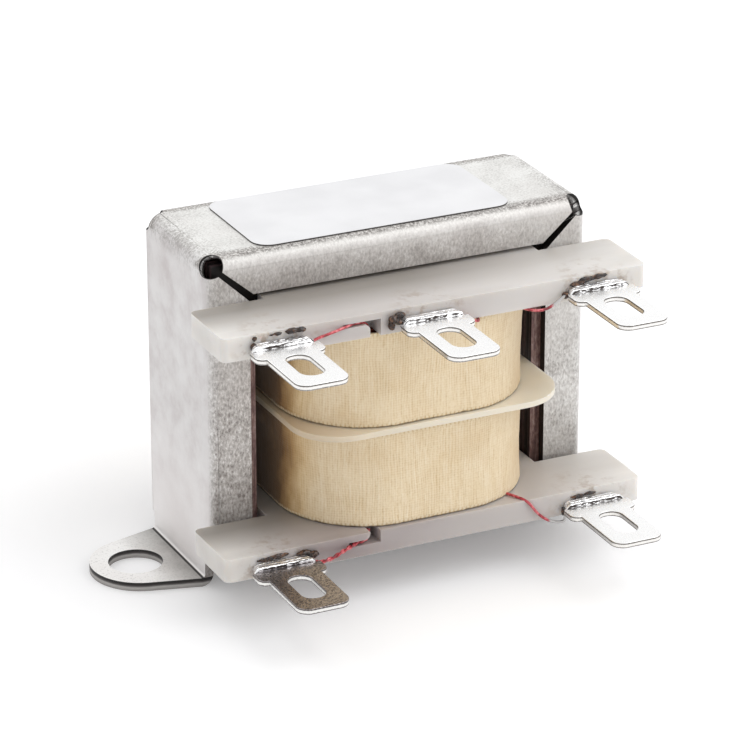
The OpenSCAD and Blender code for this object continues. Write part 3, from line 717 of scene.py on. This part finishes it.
def copy_of(node):
    """A copy of a solid whose loose triangles are merged and whose flat faces are whole again."""
    clear()
    piece = bpy.data.objects.new(node + "_copy", NODES[node].data.copy())
    bpy.context.collection.objects.link(piece)
    take(piece)
    bpy.ops.object.mode_set(mode="EDIT")
    bpy.ops.mesh.select_all(action="SELECT")
    bpy.ops.mesh.remove_doubles(threshold=0.002 * MM)
    bpy.ops.mesh.dissolve_limited(angle_limit=math.radians(0.5))
    bpy.ops.object.mode_set(mode="OBJECT")
    return piece


def hum(spot, size, seed):
    """Soft seeded noise, from about -1 to 1, for a point in mm."""
    x, y, z = spot
    return noise.noise(Vector((x / size + seed, y / size - seed, z / size + 2 * seed)))


def swell(piece, seed, *lumps):
    """Raises and sinks a piece's skin in lumps, each kind with its height and size in mm."""
    moves = []
    for vertex in piece.data.vertices:
        rise = sum(height * hum(vertex.co / MM, size, seed) for height, size in lumps)
        moves.append(vertex.normal * rise * MM)
    for vertex, move in zip(piece.data.vertices, moves):
        vertex.co += move


# ---------- carried-over solids ----------

for name in NODES:
    if "laminations" in name:
        dress(NODES[name], steel)
    elif name == "label":
        dress(NODES[name], film)


# ---------- folded channel ----------

# The front lip's lower edge is rolled up a little, which leaves a dark line over the board
LIP_ROLL = 0.25
CHANNEL_SMOOTH = 50
channel = copy_of("channel_frame")


def on_top_lip(spot):
    """Whether a point lies on the front lip that hangs from the channel's top."""
    return spot.y < STACK_FRONT and abs(spot.x) < OPEN_X - 0.05 and spot.z > OPEN_TOP


lip_low = min(v.co.z / MM for v in channel.data.vertices if on_top_lip(v.co / MM))
pick(channel, "VERT", lambda points: on_top_lip(points[0]) and points[0].z < lip_low + 0.02)
bpy.ops.transform.translate(value=(0, 0, LIP_ROLL * MM))
present(even(channel, CHANNEL_SMOOTH), "folded_channel_frame", zinc, "zinc_sheet",
        "channel_frame")


# ---------- bobbin and lugs with their edges eased ----------

BOBBIN_EASE = 0.12
LUG_EASE = 0.09


def eased(node, width):
    """A copy of a solid with its sharp edges rounded by width millimetres."""
    piece = copy_of(node)
    use(piece, "BEVEL", width=width * MM, segments=2, limit_method="ANGLE",
        angle_limit=math.radians(40))
    return even(piece, 35)


present(eased("bobbin", BOBBIN_EASE), "moulded_bobbin", nylon, "nylon", "bobbin")
for name in LUGS:
    coat = dull_tin if name == "primary_lug_left" else tin
    present(eased(name, LUG_EASE), "tinned_" + name, coat, "tinned_brass", name)


# ---------- windings, seen through the wire grooves only ----------

# How far the wire lies under the tape; the outer wall starts at this share of the half widths
UNDER_TAPE = 0.45
OUTER_WALL = 0.75

for name in NODES:
    if not name.endswith("_winding"):
        continue
    winding = copy_of(name)
    high = corners(name)[1]
    pick(winding, "VERT", lambda points: abs(points[0].x) > OUTER_WALL * high.x
         or abs(points[0].y) > OUTER_WALL * high.y)
    bpy.ops.transform.resize(value=(1 - UNDER_TAPE / high.x, 1 - UNDER_TAPE / high.y, 1),
                             center_override=(0, 0, 0))
    present(smooth(winding, 60), name + "_turns", copper, "magnet_wire", name)


# ---------- coils wrapped in cloth tape ----------

# Corner radius of the wrapped coil seen from above, the tape's thickness, and the hem that its
# last turn leaves: how wide, and how far proud
COIL_CORNER = 8.2
TAPE_THICK = 0.33
HEM = 0.3
HEM_PROUD = 0.09

# How often each corner of the wall is cut, and its flat parts along X, Y and Z
CORNER_CUTS = 48
WALL_CUTS = (23, 41, 31)

# How far the tape lies under the solid's face, sags at half height, waves and ripples, leans in
# at the lower end of the flanks, and frays at its lower edge
TAPE_UNDER = 0.04
SAG = 0.2
WAVE = 0.14
RIPPLE = 0.035
LEAN_IN = 0.25
FRAY = 0.09


def around(spot, half_x, half_y):
    """How far round the coil a point lies, from the middle of the back, and which way is out."""
    flat_x, flat_y = half_x - COIL_CORNER, half_y - COIL_CORNER
    core = Vector((max(-flat_x, min(flat_x, spot.x)), max(-flat_y, min(flat_y, spot.y))))
    out = (Vector((spot.x, spot.y)) - core).normalized()
    quarter = flat_x + flat_y + COIL_CORNER * math.pi / 2
    if abs(out.x) < 1e-4:
        return core.x if out.y > 0 else 2 * quarter - core.x, out
    if abs(out.y) < 1e-4:
        return quarter - core.y if out.x > 0 else 3 * quarter + core.y, out
    turn = math.atan2(out.x, out.y) % (2 * math.pi)
    flats = (flat_x, flat_x + 2 * flat_y, 3 * flat_x + 2 * flat_y, 3 * flat_x + 4 * flat_y)
    return COIL_CORNER * turn + flats[int(turn // (math.pi / 2))], out


def taped_coil(name, node, seed):
    """Cloth tape wound round a coil: a round-cornered wall with a hem that sags between edges."""
    low, high = corners(node)
    half_x = (high.x - low.x) / 2
    half_y = (high.y - low.y) / 2
    length = 4 * (half_x - COIL_CORNER) + 4 * (half_y - COIL_CORNER) + 2 * math.pi * COIL_CORNER
    clear()
    bpy.ops.mesh.primitive_cube_add(size=1, location=(low + high) / 2 * MM,
                                    scale=(high - low) * MM)
    coil = settle(bpy.context.object)
    pick(coil, "EDGE", lambda ends: abs(ends[0].z - ends[1].z) > 1)
    bpy.ops.mesh.bevel(offset=COIL_CORNER * MM, offset_type="OFFSET", segments=CORNER_CUTS,
                       profile=0.5, affect="EDGES")
    pick(coil, "FACE", lambda points: max(p.z for p in points) - min(p.z for p in points) < 0.01)
    bpy.ops.mesh.delete(type="FACE")
    for axis, cuts in enumerate(WALL_CUTS):
        pick(coil, "EDGE", lambda ends: abs(ends[0][axis] - ends[1][axis]) > 1)
        bpy.ops.mesh.subdivide(number_cuts=cuts)
    take(coil)

    # The weave follows the tape: its map counts millimetres along the tape and up it
    weave = coil.data.uv_layers[0]
    weave.name = "weave"
    places = [around(v.co / MM, half_x, half_y) for v in coil.data.vertices]
    for face in coil.data.polygons:
        middle = sum(places[i][0] for i in face.vertices) / len(face.vertices)
        for corner, i in zip(face.loop_indices, face.vertices):
            run = places[i][0]
            if run - middle > length / 2:
                run -= length
            elif middle - run > length / 2:
                run += length
            weave.data[corner].uv = (run, coil.data.vertices[i].co.z / MM - low.z)

    for vertex, (run, out) in zip(coil.data.vertices, places):
        spot = vertex.co / MM
        height = (spot.z - low.z) / (high.z - low.z)
        edge = min(spot.z - low.z, high.z - spot.z)
        push = HEM_PROUD * max(0, 1 - abs(edge - HEM / 2) / (HEM / 2)) - TAPE_UNDER
        push -= 0.1 * max(0, 1 - edge / 0.08)
        push -= SAG * max(0, math.sin(math.pi * height)) ** 0.7
        push += WAVE * hum((spot.x, spot.y, spot.z * 1.6), 6, seed) + RIPPLE * hum(spot, 1.3, seed)
        push -= LEAN_IN * max(0, abs(out.x) - 0.2) * (1 - height) ** 2
        rise = FRAY * hum((run, 0, 0), 0.5, seed) * max(0, 1 - edge / 0.5) if height < 0.5 else 0
        vertex.co += Vector((out.x * push, out.y * push, max(rise, 0))) * MM
    use(coil, "SOLIDIFY", thickness=TAPE_THICK * MM, offset=-1)
    pick(coil, "FACE", lambda points: True)
    bpy.ops.mesh.normals_make_consistent(inside=False)
    present(smooth(coil, 60), name, cloth, "cloth_tape", node)


taped_coil("primary_coil_tape", "primary_tape", 3.1)
taped_coil("secondary_coil_tape", "secondary_tape", 7.7)


# ---------- solder joints ----------

# Each turn is a ring stretched along the lug: its radius, the wire's, how far the middles of its
# round ends lie in from the solid's ends, and how much shorter and more crooked the next one is
RING = 0.4
RING_WIRE = 0.2
RING_END = 0.62
RING_STEP = 0.12
RING_LEAN = 0.12

# The solder between the rings: its height and eased edge, and how much longer and less deep it is
FILL_HEIGHT = 0.82
FILL_EASE = 0.18
FILL_LONGER = 0.5
FILL_LESS = 0.25
SOLDER_GRAIN = 0.055


def solder_joint(node, seed):
    """Turns of wire wound round a lug's root under a skin of solder."""
    low, high = corners(node)
    middle = (low + high) / 2
    straight = (high.x - low.x) / 2 - RING_END
    rings = []
    for turn in range(TURNS):
        clear()
        bpy.ops.mesh.primitive_torus_add(
            major_segments=40, minor_segments=12, major_radius=RING * MM,
            minor_radius=RING_WIRE * MM, rotation=(math.pi / 2, 0, 0),
            location=Vector((0, TURN_FRONT + turn * TURN_PITCH, middle.z)) * MM)
        ring = settle(bpy.context.object)
        lean = RING_LEAN * hum((turn, 0, 0), 0.7, seed)
        for side in (-1, 1):
            pick(ring, "VERT", lambda points: points[0].x * side > 0.001)
            stretch = straight - RING_STEP * turn
            bpy.ops.transform.translate(value=(side * stretch * MM, lean * side * MM, 0))
        rings.append(ring)
    clear()
    bpy.ops.mesh.primitive_cube_add(
        size=1, location=Vector((0, middle.y, middle.z)) * MM,
        scale=Vector((2 * straight + FILL_LONGER, high.y - low.y - FILL_LESS, FILL_HEIGHT)) * MM)
    fill = settle(bpy.context.object)
    use(fill, "BEVEL", width=FILL_EASE * MM, segments=3, limit_method="NONE")
    joint = take(join([fill] + rings))
    bpy.ops.transform.translate(value=(middle.x * MM, 0, 0))
    settle(joint)
    use(joint, "REMESH", mode="VOXEL", voxel_size=SOLDER_GRAIN * MM)
    use(joint, "SMOOTH", factor=0.5, iterations=4)
    swell(joint, seed, (0.05, 0.55), (0.03, 0.25))
    name = node.replace("_solder_", "_joint_")
    present(smooth(joint, 80), name, solder, "solder", node)


for number, node in enumerate(SOLDER):
    solder_joint(node, 1.7 * number + 0.4)


# ---------- leads ----------

PAIR_WIRE = 0.2
LEAD_WIRE = 0.25
CENTRE_WIRE = 0.26

# The pair's strands: their distance from its middle, and the length of one twist
PAIR_RADIUS = 0.1
PAIR_TWIST = 1.5

# Where the enamel ends, along X in mm; a wire that stays red has its ends beyond the object
BEYOND = 40
ENAMEL_END = 10.6
red = enamelled_wire("red_enamelled_wire", -BEYOND, BEYOND)
red_to_silver = enamelled_wire("red_enamelled_wire_tinned_end", -BEYOND, ENAMEL_END)


def lead(node, kind, thick, material, *routes):
    """Round wires along smooth routes of points in mm, whose Y counts from the boards' front."""
    name = node + "_" + kind
    data = bpy.data.curves.new(name, "CURVE")
    data.dimensions = "3D"
    data.resolution_u = 6
    data.bevel_depth = thick / 2 * MM
    data.bevel_resolution = 4
    data.use_fill_caps = True
    for route in routes:
        line = data.splines.new("NURBS")
        line.points.add(len(route) - 1)
        for point, (x, y, z) in zip(line.points, route):
            point.co = (x * MM, (y + BOARD_FRONT) * MM, z * MM, 1)
        line.order_u = 4
        line.use_endpoint_u = True
    wires = bpy.data.objects.new(name, data)
    bpy.context.collection.objects.link(wires)
    take(wires)
    bpy.ops.object.convert(target="MESH")
    present(smooth(bpy.context.object, 80), name, material, "red_enamel", node)


def strand(route, start):
    """A strand of a twisted pair that winds round a route from the start angle."""
    steps = []
    turn = start
    for here, there in zip(map(Vector, route), map(Vector, route[1:])):
        ahead = (there - here).normalized()
        side = ahead.cross(Vector((0, 0, 1))).normalized()
        up = side.cross(ahead)
        swept = 2 * math.pi * (there - here).length / PAIR_TWIST
        pieces = max(2, int((there - here).length / 0.15))
        for i in range(pieces):
            now = turn + swept * i / pieces
            off = PAIR_RADIUS * (side * math.cos(now) + up * math.sin(now))
            steps.append(here.lerp(there, i / pieces) + off)
        turn += swept
    return steps


def joint_end(node, side):
    """Where a lead meets its joint: side is -1 at the left end, 1 at the right."""
    low, high = corners(node)
    x = (high.x if side > 0 else low.x) - 0.25 * side
    return x, (low.y + high.y) / 2 - BOARD_FRONT, (low.z + high.z) / 2


# The places are those of the solids' own routes
left_low = joint_end("primary_solder_left", 1)
pair = [
    (-6.0, 1.3, 6.2), (-6.6, 0.45, 5.66), (-7.6, 0.3, 5.62), (-8.15, -0.1, 5.62),
    (-9.1, -0.45, 5.5), (-10.3, -0.85, 5.25), (left_low[0] + 0.7, -1.0, 5.15), left_low,
]
lead("primary_lead_left", "pair", PAIR_WIRE, red,
     strand(pair, 0), strand(pair, math.pi))

right_low = joint_end("primary_solder_right", -1)
lead("primary_lead_right", "wire", LEAD_WIRE, red_to_silver, [
    (7.3, 2.2, 6.68), (7.8, 1.2, 6.66), (8.3, 0.25, 6.64), (8.75, -0.2, 6.35), (9.3, -0.24, 5.5),
    (9.9, -0.26, 4.8), (10.7, -0.35, 4.25), (11.5, -0.5, 4.02), (12.3, -0.6, 4.1),
    (right_low[0] - 0.15, -0.6, 4.5), right_low,
])

lead("secondary_lead_left", "wire", LEAD_WIRE, red, [
    (-6.0, 1.3, 24.8), (-6.5, 0.5, 25.75), (-7.6, 0.4, 25.84), (-8.4, 0.1, 25.84),
    (-9.0, -0.22, 25.85), (-9.9, -0.4, 25.75), (-10.8, -0.5, 25.6), (-11.5, -0.5, 25.5),
    joint_end("secondary_solder_left", 1),
])

lead("secondary_lead_centre", "wire", CENTRE_WIRE, red, [
    (3.9, 0.6, 24.3), (3.75, -0.1, 24.28), (3.5, -0.4, 24.35), (2.9, -0.6, 24.6),
    (2.5, -0.6, 25.0), joint_end("secondary_solder_centre", 1),
])

lead("secondary_lead_right", "wire", LEAD_WIRE, red_to_silver, [
    (7.9, 1.5, 24.36), (8.3, 0.6, 24.32), (8.8, -0.2, 24.3), (9.6, -0.32, 24.22),
    (10.3, -0.32, 24.32), (10.8, -0.34, 24.6), (11.4, -0.4, 25.1), (11.9, -0.5, 25.35),
    joint_end("secondary_solder_right", -1),
])


# ---------- flux left by soldering ----------

FLUX_GRAIN = 0.06


def flux_crust(name, seed, drops):
    """A crust of burnt flux from a few (place, size) drops in mm, run together."""
    blobs = []
    for place, size in drops:
        clear()
        bpy.ops.mesh.primitive_ico_sphere_add(subdivisions=3, radius=0.5 * MM,
                                              location=Vector(place) * MM, scale=Vector(size))
        blobs.append(settle(bpy.context.object))
    crust = join(blobs)
    use(crust, "REMESH", mode="VOXEL", voxel_size=FLUX_GRAIN * MM)
    swell(crust, seed, (0.1, 0.45), (0.04, 0.2))
    use(crust, "SMOOTH", factor=0.4, iterations=2)
    present(smooth(crust, 80), name, flux, "solder")


flux_crust("flux_left_of_centre_lug", 2.2, [
    ((-4.45, -14.75, 25.85), (0.85, 0.8, 0.75)), ((-3.75, -14.7, 26.15), (0.8, 0.7, 0.5)),
    ((-4.6, -14.75, 25.3), (0.6, 0.7, 0.7)), ((-3.95, -14.85, 25.65), (0.9, 0.8, 0.5)),
])
flux_crust("flux_at_upper_left_lug", 5.1, [
    ((-17.2, -14.7, 25.55), (0.6, 0.6, 0.7)), ((-16.8, -14.85, 25.35), (1.0, 0.6, 0.45)),
    ((-17.0, -14.55, 26.3), (0.5, 0.35, 0.5)),
])
flux_crust("flux_over_upper_left_lug", 8.4, [
    ((-15.1, -14.5, 26.35), (1.3, 0.4, 0.3)), ((-13.6, -14.5, 26.4), (1.4, 0.5, 0.42)),
    ((-12.9, -14.55, 26.4), (0.9, 0.6, 0.5)),
])
flux_crust("flux_over_upper_right_lug", 1.9, [
    ((13.1, -14.45, 25.95), (1.4, 0.3, 0.5)), ((14.1, -14.45, 26.2), (1.8, 0.3, 0.5)),
    ((15.2, -14.45, 26.3), (1.7, 0.3, 0.4)), ((11.9, -14.8, 25.25), (0.8, 0.6, 0.6)),
])
flux_crust("flux_over_lower_left_lug", 6.6, [
    ((-16.2, -14.45, 5.95), (1.7, 0.28, 0.4)), ((-14.9, -14.45, 6.05), (1.9, 0.28, 0.4)),
    ((-11.95, -14.85, 5.75), (1.0, 0.8, 0.6)), ((-12.7, -14.6, 5.95), (1.5, 0.5, 0.35)),
])
flux_crust("flux_over_lower_right_lug", 4.3, [
    ((13.6, -14.45, 5.95), (1.6, 0.28, 0.35)), ((14.8, -14.45, 6.0), (1.4, 0.28, 0.35)),
    ((12.0, -14.8, 5.0), (0.5, 0.5, 0.8)),
])


# ---------- floor, background and light ----------

# The floor in metres and its glow; the sky as light, and as it is seen
FLOOR_SIZE = 6
FLOOR_GLOW = 0.2
SKY_LIGHT = 0.75
SKY_SEEN = 1


def seen_directly(node):
    """1 for what the camera sees straight on or in gloss and glass, else 0."""
    ray = node("LightPath").node.outputs
    shiny = node("Math", [ray["Is Glossy Ray"], ray["Is Transmission Ray"]], operation="MAXIMUM")
    return node("Math", [ray["Is Camera Ray"], shiny], operation="MAXIMUM")


def white_floor():
    """Matt white paper sweep that stays white to the eye and keeps the soft shadow."""
    material, node = new_material("white_paper_sweep")
    glow = node("Math", [seen_directly(node), FLOOR_GLOW], operation="MULTIPLY")
    return finish_material(
        material, node, Base_Color="f2f2f3", Roughness=0.9, Specular_IOR_Level=0.1,
        Emission_Color="ffffff", Emission_Strength=glow)


bpy.ops.mesh.primitive_plane_add(size=FLOOR_SIZE, location=(0, 0, cad_low.z))
floor = bpy.context.object
floor.name = "floor"
dress(floor, white_floor())
floor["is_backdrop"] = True

world = bpy.data.worlds.new("studio")
bpy.context.scene.world = world
world.use_nodes = True
world.node_tree.nodes.clear()
sky = partial(add, world.node_tree)
level = sky("MapRange", [seen_directly(sky), 0, 1, SKY_LIGHT, SKY_SEEN])
sky("OutputWorld", {"Surface": sky("Background", {"Color": "ffffff", "Strength": level})})


def softbox(name, place, size, power):
    """A square lamp, placed and sized in metres, that faces the object's middle."""
    bpy.ops.object.light_add(type="AREA", location=place)
    lamp = bpy.context.object
    lamp.name = name
    lamp.data.shape = "SQUARE"
    lamp.data.size = size
    lamp.data.energy = power
    middle = Vector((0, 0, (cad_low.z + cad_high.z) / 2))
    lamp.rotation_euler = (middle - Vector(place)).to_track_quat("-Z", "Y").to_euler()


softbox("key", (0.32, -0.2, 0.42), 0.5, 1.4)
softbox("fill", (-0.05, 0.3, 0.5), 0.4, 0.4)

bpy.context.scene.view_settings.view_transform = "Standard"

low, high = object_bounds()
